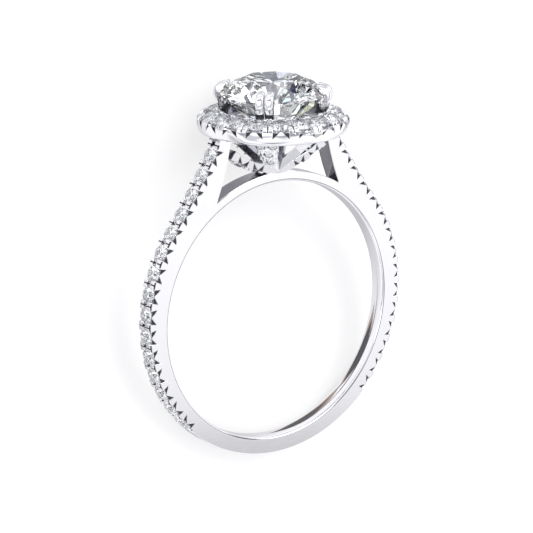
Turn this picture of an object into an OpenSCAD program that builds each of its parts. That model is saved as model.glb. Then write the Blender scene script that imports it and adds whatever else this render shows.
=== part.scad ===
// Halo ring: a round stone in a ring of small stones, on a thin band set with
// one row of stones down each side. Millimetres.
//
// Every piece is drawn with the ring upright: X runs across the ring, Y runs
// along the finger, and Z runs from the finger up to the big stone. The middle
// of the finger hole is the zero point. One module then lays the whole ring
// down on its back, as it rests on a table by itself.

/* [Finger hole and band] */
// Inner diameter of the band
finger_d = 17.3; // [15:0.1:21]
// Width of the band along the finger
band_w = 1.32; // [1.2:0.02:2]
// Wall of the plain band at the bottom of the ring
band_bottom_t = 1.1; // [0.8:0.05:1.6]
// Wall of the band at the sides, under the row of stones
band_side_t = 1.48; // [1.4:0.02:2]
// Chamfer along both inner edges of the band
inner_chamfer = 0.14; // [0.05:0.01:0.25]

/* [Shoulders, arch and bridge] */
// Angle at which the shoulders' outer line leaves the band, above the level
shoulder_angle = 53; // [48:1:55]
// How many degrees steeper that line is at its top, under the halo
shoulder_flare = 9; // [3:0.5:10]
// Wall of the thin arch that closes the finger hole under the head
arch_t = 0.67; // [0.5:0.01:0.9]
// Angle from the top at which the shoulders leave the arch
arch_half_angle = 31.5; // [28:0.5:34]
// Half of the distance between the shoulders' inner edges under the halo
shoulder_in = 3.7; // [3.3:0.05:3.9]
// How far the shoulders' inner edges bow towards the middle
shoulder_bow = 0.15; // [0.05:0.01:0.3]
// Thickness of the curved bridge between the shoulders
bridge_t = 0.64; // [0.5:0.01:0.75]
// Radius of the bridge's upper edge
bridge_r = 5.15; // [4.8:0.05:5.6]
// How far the bridge dips into the arch at its lowest point
bridge_dip = 0.08; // [0.04:0.01:0.2]

/* [Halo] */
// Outer radius of the halo
halo_r = 4.97; // [4.8:0.01:5.3]
// Height of the halo's underside over the arch
halo_lift = 2.63; // [2.4:0.01:3]
// Height of the halo from its underside to its row of stones
halo_h = 1.35; // [1.2:0.01:1.6]
// Metal left outside the halo's row of stones
halo_rim = 0.2; // [0.15:0.01:0.3]
// Metal left inside the halo's row of stones
halo_lip = 0.15; // [0.1:0.01:0.25]
// Outward lean of the halo's stones
halo_lean = 20; // [10:1:25]
// Outer radius of the halo's underside
halo_foot_r = 4.65; // [4.4:0.05:4.7]
// Radial width of the halo's underside
halo_foot_w = 0.75; // [0.5:0.05:0.8]
// Radius of the halo's rounded outer edge
halo_round = 0.36; // [0.2:0.02:0.38]

/* [Prong head] */
// Width of one finger of a double prong
finger_w = 0.53; // [0.4:0.01:0.6]
// Slit between the two fingers of a prong
finger_slit = 0.08; // [0.05:0.01:0.15]
// Thickness of a finger beside the stone's girdle
finger_t = 0.33; // [0.25:0.01:0.4]
// Thickness of a finger where it passes through the halo
finger_root_t = 0.44; // [0.35:0.01:0.6]
// How far a claw reaches in over the stone
claw_reach = 0.55; // [0.4:0.01:0.8]
// Thickness of a claw above the stone
claw_t = 0.26; // [0.2:0.01:0.35]
// Width of a prong's post at the halo
post_top_w = 1.6; // [1.4:0.05:1.8]
// Width of a prong's post at the arch
post_foot_w = 0.95; // [0.8:0.05:1.2]
// Thickness of a post
post_t = 0.62; // [0.5:0.01:0.8]

/* [Big stone] */
// Diameter of the big stone
stone_d = 6.9; // [6.6:0.05:7]
// Height of the big stone's girdle over the halo's row
stone_lift = 1.1; // [1:0.01:1.3]
// Table width as a share of the diameter
table_share = 0.56; // [0.5:0.01:0.62]
// Crown height as a share of the diameter
crown_share = 0.145; // [0.12:0.005:0.16]
// Pavilion depth as a share of the diameter
pavilion_share = 0.425; // [0.4:0.005:0.45]
// Girdle thickness as a share of the diameter
girdle_share = 0.02; // [0.01:0.005:0.03]

/* [Small stones] */
// Diameter of the stones in the halo
halo_stone_d = 1.24; // [1.1:0.02:1.26]
// Number of stones in the halo
halo_stones = 18; // [16:1:18]
// Diameter of the stones in the band
band_stone_d = 1.2; // [1.05:0.01:1.22]
// Distance from one stone to the next in the band
band_pitch = 1.4; // [1.35:0.01:1.42]
// Stones of one side that sit on the round stretch of the band
round_stones = 11; // [6:1:11]
// Stones of one side that sit on the shoulder
shoulder_stones = 4; // [2:1:4]
// Diameter of the stones under the bridge
bridge_stone_d = 1; // [0.8:0.02:1.02]
// Diameter of the largest stones on a post
post_stone_d = 0.66; // [0.5:0.01:0.7]
// Depth of a small stone's girdle under the metal's surface
set_depth = 0.12; // [0.08:0.01:0.16]

/* [Clearances and cuts] */
// Gap between a stone and its seat
seat_gap = 0.03; // [0.02:0.005:0.04]
// Depth of the notches beside each stone, along the wall
notch_depth = 0.42; // [0.2:0.01:0.5]
// Depth of the notches into the wall
notch_in = 0.2; // [0.1:0.01:0.25]

/* [Hidden] */
$fn = 96;
two = [0, 1];
quarter = 90;
overlap = 0.05;     // what joined metal shares
through = 1;        // what a cut runs past the metal

finger_r = finger_d / 2;
half_w = band_w / 2;

// Along one side of the band, the gap between the fourth and fifth stone lies
// this share of a pitch above the lower end of the shoulder.
band_row_shift = 0.4;

// The band's outside is one circle, set a little above the finger hole, so the
// wall grows from the bottom to the sides.
bottom_r = finger_r + band_bottom_t;
side_r = finger_r + band_side_t;
outer_r = (side_r * side_r / bottom_r + bottom_r) / 2;
outer_z = outer_r - bottom_r;

arch_r = finger_r + arch_t;
halo_row_r = halo_r - halo_rim - halo_stone_d / 2;
halo_hole_r = halo_row_r - halo_stone_d / 2 - halo_lip;
halo_foot_z = arch_r + halo_lift;
row_z = halo_foot_z + halo_h;
girdle_z = row_z + stone_lift;

// Shoulder line: it leaves the outer circle where it is tangent to it, and then
// bends the other way as a wide arc that ends inside the halo.
tangent_x = outer_r * sin(shoulder_angle);
tangent_z = outer_z + outer_r * cos(shoulder_angle);
shoulder_top_z = halo_foot_z + 0.25 * halo_h;
shoulder_end = shoulder_angle + shoulder_flare;
shoulder_r = (shoulder_top_z - tangent_z) / (cos(shoulder_angle) - cos(shoulder_end));
shoulder_steps = 12;
function shoulder_turn(run) = shoulder_angle + run / shoulder_r * 180 / PI;
function shoulder_point(side, turn) =
    [side * (tangent_x + shoulder_r * (sin(shoulder_angle) - sin(turn))),
     tangent_z + shoulder_r * (cos(shoulder_angle) - cos(turn))];
function shoulder_line(side) = [for (k = [0 : shoulder_steps])
    shoulder_point(side, shoulder_angle + shoulder_flare * k / shoulder_steps)];

// Bridge: its centre lies over the ring.
bridge_out_r = bridge_r + bridge_t;
bridge_z = arch_r - bridge_dip + bridge_out_r;

// Places of the stones in the band and under the bridge
band_step = band_pitch / outer_r * 180 / PI;
round_first = 0.5 - band_row_shift;
bridge_stone_angles = [17.5, 31];

// A post's outer face runs from the arch up to the halo's underside. Each row of
// post_places is one stone: share of the face's length from its foot, place
// across it in pitches, and share of the largest stone's size.
post_foot = [0.62, arch_r + 0.02];
post_head = [3.62, halo_foot_z + 0.1];
post_run = norm(post_head - post_foot);
post_rise = atan2(post_head[1] - post_foot[1], post_head[0] - post_foot[0]);
post_gap = 0.12;
post_places = [[0.74, 0.5, 1], [0.74, -0.5, 1], [0.49, 0, 1], [0.26, 0, 0.85]];

// The halo's rounded edge is drawn from this angle below the level, in steps.
round_from = 20;
round_steps = 5;

// A finger's outer face at its root, the height over which it opens out below
// the girdle, the height at which it bends in above it, and its tip's bevel
finger_root_r = halo_hole_r + 1.5 * overlap;
finger_open = 0.3;
finger_bend = 0.1;
claw_bevel = 0.15;

// Big stone
girdle_r = stone_d / 2;
girdle_half = stone_d * girdle_share / 2;
table_r = girdle_r * table_share;
crown_h = stone_d * crown_share;
pavilion_h = stone_d * pavilion_share;
table_z = girdle_z + girdle_half + crown_h;
star_share = 0.79;      // radius where the star facets end
culet_share = 0.22;     // radius where the lower girdle facets end

// Small stones, all cut alike
small_table = 0.58;
small_crown = 0.15;
small_pavilion = 0.4;
small_girdle = 0.04;
small_sides = 8;
seat_rise = 0.06;       // how far a seat is cut past the metal's surface
seat_tip = 0.25;        // width of a seat's point as a share of the seat

// Pose on the table: the ring lies on the bottom of its band and on the back
// of the halo's rounded edge.
edge_r = halo_r - halo_round;
edge_z = row_z - (edge_r - halo_row_r) * tan(halo_lean) - halo_round / cos(halo_lean);
rest_up = edge_z + bottom_r;
rest_out = edge_r - half_w;
rest_tilt = asin(halo_round / norm([rest_up, rest_out])) + atan2(rest_out, rest_up);
rest_z = bottom_r * sin(rest_tilt) + half_w * cos(rest_tilt);
far_y = table_z * cos(rest_tilt) + table_r * sin(rest_tilt);
near_y = -(bottom_r * cos(rest_tilt) + half_w * sin(rest_tilt));

HALO_NODES = [for (i = [1 : halo_stones]) str("halo_stone_", i < 10 ? "0" : "", i)];

silver = [0.86, 0.87, 0.9];
clear = [0.93, 0.96, 1];

// Lays the upright ring on its back, with the middle of its outline over zero.
module lie_down() {
    translate([0, -(far_y + near_y) / 2, rest_z])
        rotate([rest_tilt - quarter, 0, 0])
            children();
}

// Draws a flat X-Z outline as a plate of the given width, centred on Y.
module plate(width) {
    rotate([quarter, 0, 0])
        translate([0, 0, -width / 2])
            linear_extrude(width) children();
}

// Puts something on the outer circle of the band: side is -1 left or 1 right.
module on_circle(side, angle) {
    rotate_y = side * angle;
    translate([outer_r * sin(rotate_y), 0, outer_z + outer_r * cos(rotate_y)])
        rotate([0, rotate_y, 0]) children();
}

// Puts something on the shoulder, a distance above its lower end.
module on_shoulder(side, run) {
    turn = shoulder_turn(run);
    point = shoulder_point(side, turn);
    translate([point[0], 0, point[1]]) rotate([0, side * turn, 0]) children();
}

// Puts something on each stone's place in one side of the band.
module at_band_stones(side) {
    first_run = (band_row_shift + 0.5) * band_pitch;
    for (i = [0 : shoulder_stones - 1])
        on_shoulder(side, first_run + i * band_pitch) children();
    for (i = [0 : round_stones - 1])
        on_circle(side, shoulder_angle + (round_first + i) * band_step) children();
}

// Puts something on the place of one stone of the halo.
module at_halo_stone(index) {
    rotate([0, 0, (index + 0.5) * 360 / halo_stones])
        translate([0, -halo_row_r, row_z])
            rotate([halo_lean, 0, 0]) children();
}

// Puts something on each stone's place under the bridge, facing down and out.
module at_bridge_stones() {
    for (side = [-1, 1], angle = bridge_stone_angles)
        translate([0, 0, bridge_z])
            rotate([0, side * (180 - angle), 0])
                translate([0, 0, bridge_out_r]) children();
}

// Turns something drawn for a prong on the X axis to each of the four prongs.
module at_prongs() {
    for (turn = [45 : quarter : 315])
        rotate([0, 0, turn]) children();
}

// Puts something on each stone's place on the four posts, facing out.
module at_post_stones() {
    at_prongs()
        for (place = post_places)
            translate([post_foot[0], 0, post_foot[1]])
                rotate([0, -post_rise, 0])
                    translate([post_run * place[0], place[1] * (post_stone_d + post_gap), 0])
                        rotate([180, 0, 0]) scale(place[2]) children();
}

// A small stone: an eight-sided table, crown, girdle and pavilion. Its girdle
// lies set_depth under the surface that it is set in.
module small_stone(d) {
    r = d / 2;
    rings = [[r * small_table, d * small_crown], [r, 0], [r, -d * small_girdle]];
    points = concat(
        [for (ring = rings, i = [0 : small_sides - 1])
            let (a = i * 360 / small_sides)
            [ring[0] * cos(a), ring[0] * sin(a), ring[1]]],
        [[0, 0, -d * (small_girdle + small_pavilion)]]);
    culet = len(points) - 1;
    faces = concat(
        [[for (i = [small_sides - 1 : -1 : 0]) i]],
        [for (k = two, i = [0 : small_sides - 1])
            let (j = (i + 1) % small_sides, low = k * small_sides)
            [low + i, low + j, low + small_sides + j, low + small_sides + i]],
        [for (i = [0 : small_sides - 1])
            let (j = (i + 1) % small_sides, low = 2 * small_sides)
            [low + i, low + j, culet]]);
    translate([0, 0, -set_depth]) polyhedron(points, faces, convexity = 2);
}

// The seat of a small stone: a round hole down to the girdle, then a cone.
module seat(d) {
    r = d / 2 + seat_gap;
    floor_z = -set_depth - d * small_girdle - seat_gap;
    depth = d * small_pavilion;
    translate([0, 0, floor_z]) cylinder(r = r, h = seat_rise - floor_z);
    translate([0, 0, floor_z - depth])
        cylinder(r1 = seat_tip * r, r2 = r, h = depth + seat_gap);
}

// The pair of notches that opens the wall in front of a stone. It is drawn
// across the wall, with the wall's face at zero and the cut running inwards.
module notch_pair(d) {
    half = 0.44 * d;
    tip = 0.3 * d;
    low = -set_depth - notch_depth;
    rotate([quarter, 0, 0])
        linear_extrude(2 * notch_in, center = true)
            polygon([[-half, through / 2], [-half, -set_depth], [-tip, low],
                     [0, -set_depth], [tip, low], [half, -set_depth],
                     [half, through / 2]]);
}

// Outline pieces of the shank, all in X and Z. The shoulders' inner edges bow
// towards the middle as a curve of a few steps.
arch_x = arch_r * sin(arch_half_angle);
arch_z = arch_r * cos(arch_half_angle);
window_steps = 6;
function window_edge(side) = [for (k = [0 : window_steps])
    let (share = k / window_steps, bow = 4 * share * (1 - share) * shoulder_bow)
    [side * (arch_x + (shoulder_in - arch_x) * share - bow),
     arch_z + (shoulder_top_z - arch_z) * share]];

module window_outline() {
    right = window_edge(1);
    left = window_edge(-1);
    polygon(concat(right, [for (k = [window_steps : -1 : 0]) left[k]]));
}

module shoulder_outline() {
    right = shoulder_line(1);
    left = shoulder_line(-1);
    polygon(concat(left, [for (k = [shoulder_steps : -1 : 0]) right[k]]));
}

// The band with its shoulders and arch: one plate with the finger hole and the
// open window under the head.
module shank() {
    difference() {
        union() {
            translate([0, half_w, outer_z]) rotate([quarter, 0, 0])
                cylinder(r = outer_r, h = band_w);
            plate(band_w) shoulder_outline();
        }
        difference() {
            plate(band_w + 2 * through) window_outline();
            translate([0, half_w + 2 * through, 0]) rotate([quarter, 0, 0])
                cylinder(r = arch_r, h = band_w + 4 * through);
        }
    }
}

// The finger hole, with both edges chamfered.
module finger_hole() {
    rotate([quarter, 0, 0]) {
        cylinder(r = finger_r, h = band_w + 2 * through, center = true);
        for (flip = [0, 180])
            rotate([0, flip, 0]) translate([0, 0, half_w - inner_chamfer])
                cylinder(r1 = finger_r, r2 = finger_r + inner_chamfer + through,
                         h = inner_chamfer + through);
    }
}

// The curved bridge between the shoulders.
module bridge() {
    intersection() {
        difference() {
            translate([0, half_w, bridge_z]) rotate([quarter, 0, 0])
                cylinder(r = bridge_out_r, h = band_w);
            translate([0, half_w + through, bridge_z]) rotate([quarter, 0, 0])
                cylinder(r = bridge_r, h = band_w + 2 * through);
        }
        plate(band_w + 2 * through)
            translate([-shoulder_in - overlap, finger_r])
                square([2 * (shoulder_in + overlap), shoulder_top_z - finger_r]);
    }
}

// The halo's section, from its foot round the outside to its sloping top.
module halo() {
    slope = tan(halo_lean);
    rotate_extrude()
        polygon(concat(
            [[halo_foot_r - halo_foot_w, halo_foot_z], [halo_foot_r, halo_foot_z]],
            [for (k = [0 : round_steps])
                let (a = (quarter - halo_lean + round_from) * k / round_steps - round_from)
                [edge_r + halo_round * cos(a), edge_z + halo_round * sin(a)]],
            [[halo_hole_r, row_z + (halo_row_r - halo_hole_r) * slope],
             [halo_hole_r, halo_foot_z + halo_foot_w]]));
}

// One finger of a prong, seen from the side: X is the distance from the middle.
// It rises through the halo, opens round the girdle and bends over the crown.
module finger_outline() {
    crown_slope = crown_h / (girdle_r - table_r);
    pavilion_slope = pavilion_h / girdle_r;
    top = girdle_z + girdle_half;
    low = girdle_z - girdle_half;
    inner = girdle_r + seat_gap;
    root_in = finger_root_r - finger_root_t;
    tip = girdle_r - claw_reach;
    gap = 1.2 * seat_gap;
    tip_z = top + claw_reach * crown_slope + gap;
    bend_z = top + finger_bend;
    polygon([
        [root_in, halo_foot_z], [finger_root_r, halo_foot_z],
        [finger_root_r, row_z + finger_open / 2], [inner + finger_t, low - finger_open],
        [inner + finger_t, bend_z], [inner + 0.4 * finger_t, bend_z + 1.6 * claw_t],
        [tip + claw_bevel, tip_z + claw_t], [tip, tip_z + 0.5 * claw_t], [tip, tip_z],
        [inner, top + gap], [inner, low - gap],
        [root_in, low - gap - (inner - root_in) * pavilion_slope]]);
}

module fingers() {
    at_prongs()
        for (side = [-1, 1])
            translate([0, side * (finger_w + finger_slit) / 2, 0])
                plate(finger_w) finger_outline();
}

// The four posts that carry the prongs and the halo from the arch.
module posts() {
    inwards = [-sin(post_rise), cos(post_rise)] * post_t;
    at_prongs()
        intersection() {
            plate(2 * post_top_w)
                polygon([post_foot, post_head, post_head + inwards, post_foot + inwards]);
            linear_extrude(2 * halo_foot_z)
                polygon([[-1, -post_foot_w / 2], [post_foot[0], -post_foot_w / 2],
                         [post_head[0], -post_top_w / 2], [post_head[0], post_top_w / 2],
                         [post_foot[0], post_foot_w / 2], [-1, post_foot_w / 2]]);
        }
}

// All the metal, soldered into one piece, with the seats and notches cut in it.
module mounting() {
    color(silver) lie_down()
        difference() {
            union() {
                shank();
                bridge();
                halo();
                fingers();
                posts();
            }
            finger_hole();
            for (side = [-1, 1]) {
                at_band_stones(side) seat(band_stone_d);
                for (face = [-1, 1])
                    at_band_stones(side)
                        translate([0, face * half_w, 0]) notch_pair(band_stone_d);
            }
            for (i = [0 : halo_stones - 1]) at_halo_stone(i) {
                seat(halo_stone_d);
                translate([0, -(halo_stone_d / 2 + notch_in), 0]) notch_pair(halo_stone_d);
            }
            at_bridge_stones() seat(bridge_stone_d);
            at_post_stones() seat(post_stone_d);
        }
}

// The big round stone, with its full set of facets.
module brilliant() {
    star_r = star_share * girdle_r;
    low_r = culet_share * girdle_r;
    step = 360 / 8;
    half = step / 2;
    top = girdle_half;
    slope = crown_h / (girdle_r - table_r);
    star_z = top + (girdle_r - star_r * cos(half)) * slope;
    culet_z = -girdle_half - pavilion_h;
    low_z = culet_z + low_r * cos(half) * pavilion_h / girdle_r;
    points = concat(
        [for (i = [0 : 7]) [table_r * cos(i * step), table_r * sin(i * step), top + crown_h]],
        [for (i = [0 : 7])
            [star_r * cos(i * step + half), star_r * sin(i * step + half), star_z]],
        [for (z = [top, -top], i = [0 : 15])
            [girdle_r * cos(i * half), girdle_r * sin(i * half), z]],
        [for (i = [0 : 7])
            [low_r * cos(i * step + half), low_r * sin(i * step + half), low_z]],
        [[0, 0, culet_z]]);
    faces = concat(
        [[for (i = [7 : -1 : 0]) i]],
        [for (i = [0 : 7]) let (j = (i + 1) % 8, h = (i + 7) % 8) each [
            [i, j, 8 + i],
            [i, 8 + i, 16 + 2 * i, 8 + h],
            [8 + i, 16 + 2 * i + 1, 16 + 2 * i],
            [8 + i, 16 + 2 * j, 16 + 2 * i + 1],
            [48 + i, 56, 48 + h, 32 + 2 * i],
            [48 + i, 32 + 2 * i, 32 + 2 * i + 1],
            [48 + i, 32 + 2 * i + 1, 32 + 2 * j]]],
        [for (i = [0 : 15]) let (j = (i + 1) % 16) [16 + i, 16 + j, 32 + j, 32 + i]]);
    polyhedron(points, faces, convexity = 2);
}

module center_stone() {
    color(clear) lie_down()
        translate([0, 0, girdle_z]) brilliant();
}

module halo_stone(index) {
    color(clear) lie_down()
        at_halo_stone(index) small_stone(halo_stone_d);
}

module band_stones(side) {
    color(clear) lie_down()
        at_band_stones(side) small_stone(band_stone_d);
}

module bridge_stones() {
    color(clear) lie_down()
        at_bridge_stones() small_stone(bridge_stone_d);
}

module post_stones() {
    color(clear) lie_down()
        at_post_stones() small_stone(post_stone_d);
}

mounting();
center_stone();
band_stones(-1);  // band_stones_left
band_stones(1);  // band_stones_right
bridge_stones();
post_stones();
for (i = [0 : halo_stones - 1])
    halo_stone(i);
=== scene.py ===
# %% [markdown]
# # A halo ring, dressed for its portrait
# The ring is white gold with clear round stones. A big stone sits in four double
# claws over a round halo, and a row of small stones runs down each shoulder of a
# slim band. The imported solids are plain, so this notebook rebuilds each part with
# its small cuts, beads and facets, in the same place and at the same size.
#
# It begins with the frame, because every later piece has to fit inside it.

from math import atan, cos, hypot, pi, radians, sin, sqrt, tan

import bmesh
import bpy
from mathutils import Matrix, Vector


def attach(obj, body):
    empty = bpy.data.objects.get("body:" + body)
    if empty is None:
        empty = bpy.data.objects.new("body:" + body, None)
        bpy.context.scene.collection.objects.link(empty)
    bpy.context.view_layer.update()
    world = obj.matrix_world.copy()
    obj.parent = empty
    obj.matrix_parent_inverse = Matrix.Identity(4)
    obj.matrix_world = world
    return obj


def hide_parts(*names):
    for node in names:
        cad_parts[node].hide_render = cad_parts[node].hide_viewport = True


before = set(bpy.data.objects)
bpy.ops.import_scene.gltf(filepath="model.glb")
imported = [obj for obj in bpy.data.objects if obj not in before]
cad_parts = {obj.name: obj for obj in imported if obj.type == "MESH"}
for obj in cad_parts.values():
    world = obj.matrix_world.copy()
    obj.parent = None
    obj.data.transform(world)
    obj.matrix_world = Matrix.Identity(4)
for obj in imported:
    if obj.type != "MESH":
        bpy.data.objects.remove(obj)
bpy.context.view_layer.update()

# %% [markdown]
# ## Sizes
# A ring is easiest to draw upright, in millimetres, with the middle of the finger
# hole at zero, X to the right, Y to the back and Z up to the head. But the ring lies
# on its back on the table. Each object could be turned for that. Here one matrix
# turns the meshes instead and makes metres of the millimetres, so every object
# stays at the origin and all of them share one set of Object coordinates.

# %% Sizes in millimetres, upright
MM = 0.001
FINGER_R = 8.65
HALF_W = 0.66
OUTER_R, OUTER_Z = 10.1374, 0.3874
ARCH_R = 9.32
SHOULDER_ANGLE = radians(53)
SHOULDER_R = 43.82
TANGENT = (8.096, 6.488)
SHOULDER_TOP = 12.2875
PITCH = 1.4
ROW_RUNS = [1.26 + PITCH * k for k in range(3, -12, -1)]
BAND_STONE = 1.2
HALO_ROW_R, HALO_ROW_Z, HALO_LEAN = 4.15, 13.3, radians(20)
HALO_STONE = 1.24
HALO_COUNT = 18
GIRDLE_Z, GIRDLE_R = 14.4, 3.45
BRIDGE_R, BRIDGE_Z, BRIDGE_T = 5.15, 15.03, 0.64
REST_TILT = radians(10.86034)
REST_Y, REST_Z = -2.92836, 2.48523

LIE_DOWN = Matrix.Scale(MM, 4) @ Matrix((
    (1, 0, 0, 0),
    (0, sin(REST_TILT), cos(REST_TILT), REST_Y),
    (0, -cos(REST_TILT), sin(REST_TILT), REST_Z),
    (0, 0, 0, 1)))
print("Stones in one row of the band:", len(ROW_RUNS))

# %% [markdown]
# ## Polished white gold
# White gold is plated with rhodium and polished, so it is a nearly white mirror.
# What keeps it from looking like plastic chrome is the polish: fine hairlines from
# the wheel and a faint waviness. A picture of scratches could give them, but each
# piece would have to be unwrapped for it. Noise needs no unwrapping, and as most of
# the finishes use some, it gets a helper first.

# %% Node helpers
def set_inputs(node, values):
    for name, value in values.items():
        node.inputs[name].default_value = value


def add_noise(tree, scale, detail, space="Object"):
    """A noise texture that is tied to one kind of coordinates."""
    place = tree.nodes.new("ShaderNodeTexCoord")
    cloud = tree.nodes.new("ShaderNodeTexNoise")
    set_inputs(cloud, {"Scale": scale, "Detail": detail})
    tree.links.new(place.outputs[space], cloud.inputs["Vector"])
    return cloud


print("Node helpers:", [f.__name__ for f in (set_inputs, add_noise)])

# %% [markdown]
# The nodes for the polish could be repeated in every metal. One node group holds
# them instead, and each metal uses the group with its own tones and amounts. Only a
# colour, a roughness and a normal come out of it. The hairlines are the same noise,
# stretched far along one direction.

# %% The polish, one node group for every metal
def socket(group, name, kind, way="INPUT", value=None):
    item = group.interface.new_socket(name=name, in_out=way, socket_type=kind)
    if value is not None:
        item.default_value = value


def make_polish_group():
    group = bpy.data.node_groups.new("Polish marks", "ShaderNodeTree")
    socket(group, "Light tone", "NodeSocketColor", value=(0.95, 0.95, 0.96, 1))
    socket(group, "Deep tone", "NodeSocketColor", value=(0.8, 0.8, 0.82, 1))
    socket(group, "Smoothest", "NodeSocketFloat", value=0.03)
    socket(group, "Roughest", "NodeSocketFloat", value=0.12)
    socket(group, "Hairline depth", "NodeSocketFloat", value=0.02)
    socket(group, "Colour", "NodeSocketColor", way="OUTPUT")
    socket(group, "Roughness", "NodeSocketFloat", way="OUTPUT")
    socket(group, "Normal", "NodeSocketVector", way="OUTPUT")
    nodes, links = group.nodes, group.links
    given = nodes.new("NodeGroupInput")
    result = nodes.new("NodeGroupOutput")

    cloud = add_noise(group, 420, 3)
    tone = nodes.new("ShaderNodeMix")
    tone.data_type = "RGBA"
    links.new(cloud.outputs["Fac"], tone.inputs["Factor"])
    links.new(given.outputs["Deep tone"], tone.inputs["A"])
    links.new(given.outputs["Light tone"], tone.inputs["B"])
    links.new(tone.outputs["Result"], result.inputs["Colour"])

    place = nodes.new("ShaderNodeTexCoord")
    stretch = nodes.new("ShaderNodeMapping")
    set_inputs(stretch, {"Scale": (1500, 9000, 1500), "Rotation": (0.4, 0.2, 0.5)})
    hairlines = nodes.new("ShaderNodeTexNoise")
    set_inputs(hairlines, {"Scale": 1, "Detail": 4})
    links.new(place.outputs["Object"], stretch.inputs["Vector"])
    links.new(stretch.outputs["Vector"], hairlines.inputs["Vector"])

    spread = nodes.new("ShaderNodeMapRange")
    set_inputs(spread, {"From Min": 0.35, "From Max": 0.7})
    links.new(hairlines.outputs["Fac"], spread.inputs["Value"])
    links.new(given.outputs["Smoothest"], spread.inputs["To Min"])
    links.new(given.outputs["Roughest"], spread.inputs["To Max"])
    links.new(spread.outputs["Result"], result.inputs["Roughness"])

    bump = nodes.new("ShaderNodeBump")
    set_inputs(bump, {"Distance": 0.00001})
    links.new(given.outputs["Hairline depth"], bump.inputs["Strength"])
    links.new(hairlines.outputs["Fac"], bump.inputs["Height"])
    links.new(bump.outputs["Normal"], result.inputs["Normal"])
    return group


POLISH = make_polish_group()
print("Node group:", POLISH.name)

# %% [markdown]
# ## Five finishes of one metal, four with painted shade
# A mounting isn't polished everywhere. The wheel reaches the outside. The seats under
# the stones are only satin, and their darker tone is painted shade in the hollows. The
# graver's cuts are raw, and their near-black tone is painted shade. The walls inside
# get a quick rub, so they are duller too, and their darker greys are painted shade
# where little light falls. Each cut could be a piece of its own. But every face of a
# mesh can carry any material of its piece, so each finish gets a number here, and a
# piece stays whole.

# %% Metal finishes, four with painted shade
def new_finish(name):
    """A new material with its node tree and its Principled shader."""
    material = bpy.data.materials.new(name)
    material.use_nodes = True
    tree = material.node_tree
    return material, tree, tree.nodes["Principled BSDF"]


def make_metal(name, light, deep, smoothest, roughest, hairlines):
    material, tree, shader = new_finish(name)
    shader.inputs["Metallic"].default_value = 1
    polish = tree.nodes.new("ShaderNodeGroup")
    polish.node_tree = POLISH
    set_inputs(polish, {"Light tone": (*light, 1), "Deep tone": (*deep, 1),
                        "Smoothest": smoothest, "Roughest": roughest,
                        "Hairline depth": hairlines})
    tree.links.new(polish.outputs["Colour"], shader.inputs["Base Color"])
    tree.links.new(polish.outputs["Roughness"], shader.inputs["Roughness"])
    tree.links.new(polish.outputs["Normal"], shader.inputs["Normal"])
    return material


# Every finish after the first darkens the metal as painted shade.
METALS = [
    make_metal("White gold, polished", (0.96, 0.96, 0.975), (0.9, 0.9, 0.92),
               0.03, 0.1, 0.03),
    make_metal("White gold, satin seat with painted shade", (0.94, 0.94, 0.96), (0.55, 0.55, 0.57),
               0.05, 0.14, 0.03),
    make_metal("White gold, raw cut with painted shade", (0.13, 0.125, 0.135), (0.03, 0.03, 0.035),
               0.25, 0.5, 0.15),
    make_metal("White gold, deep inside with painted shade", (0.42, 0.42, 0.45), (0.16, 0.16, 0.18),
               0.08, 0.25, 0.05),
    make_metal("White gold, inner side with painted shade", (0.6, 0.6, 0.68), (0.32, 0.32, 0.38),
               0.05, 0.18, 0.03)]
POLISHED, SEAT_SHADE, CUT_SHADE, DEEP_SHADE, INNER_SHADE = range(len(METALS))
print("Metals:", [m.name for m in METALS])

# %% [markdown]
# ## Clear stones
# A cut stone is clear, bends light strongly and throws it back through its top. A
# painted sparkle would look the same from every side, so the shader is plain glass
# with the stone's high refractive index, and the facets do the rest. Natural stones
# carry a breath of colour that differs from place to place. A slow noise gives
# that, far too faint to see as a pattern.

# %% Stone finish
STONE_IOR = 2.417


def make_stone_finish(name, cold, warm, scale):
    material, tree, shader = new_finish(name)
    set_inputs(shader, {"Roughness": 0, "IOR": STONE_IOR, "Transmission Weight": 1})
    cloud = add_noise(tree, scale, 1)
    tone = tree.nodes.new("ShaderNodeMix")
    tone.data_type = "RGBA"
    tone.inputs["A"].default_value = (*cold, 1)
    tone.inputs["B"].default_value = (*warm, 1)
    tree.links.new(cloud.outputs["Fac"], tone.inputs["Factor"])
    tree.links.new(tone.outputs["Result"], shader.inputs["Base Color"])
    return material


big_stone_finish = make_stone_finish(
    "Big stone, clear", (0.97, 0.985, 1), (1, 0.995, 0.975), 320)
small_stone_finish = make_stone_finish(
    "Small stones, clear", (0.95, 0.97, 1), (1, 0.995, 0.98), 700)
print("Stones:", big_stone_finish.name, "and", small_stone_finish.name)

# %% [markdown]
# The rim of a cut stone, its girdle, is ground but not polished, so it stays frosted
# and shows as a fine broken line. A thin ring round the stone could draw that line,
# but a patchy finish on the rim's own faces needs no extra piece.

# %% Girdle finish
def add_ramp(tree, stops, blend="LINEAR"):
    """A colour ramp, given as places from 0 to 1 and their colours."""
    node = tree.nodes.new("ShaderNodeValToRGB")
    ramp = node.color_ramp
    ramp.interpolation = blend
    for k, (place, tone) in enumerate(stops):
        stop = ramp.elements[k] if k < 2 else ramp.elements.new(place)
        stop.position = place
        stop.color = (*tone, 1)
    return node


def make_girdle_finish():
    material, tree, shader = new_finish("Girdle, frosted")
    set_inputs(shader, {"Roughness": 0.4, "IOR": STONE_IOR,
                        "Transmission Weight": 0.3})
    grain = add_noise(tree, 2200, 0)
    tones = add_ramp(tree, [(0.48, (0.004, 0.004, 0.02)), (0.56, (0.7, 0.7, 0.74))])
    tree.links.new(grain.outputs["Fac"], tones.inputs["Fac"])
    tree.links.new(tones.outputs["Color"], shader.inputs["Base Color"])
    return material


girdle_finish = make_girdle_finish()
print("Rim:", girdle_finish.name)
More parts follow.
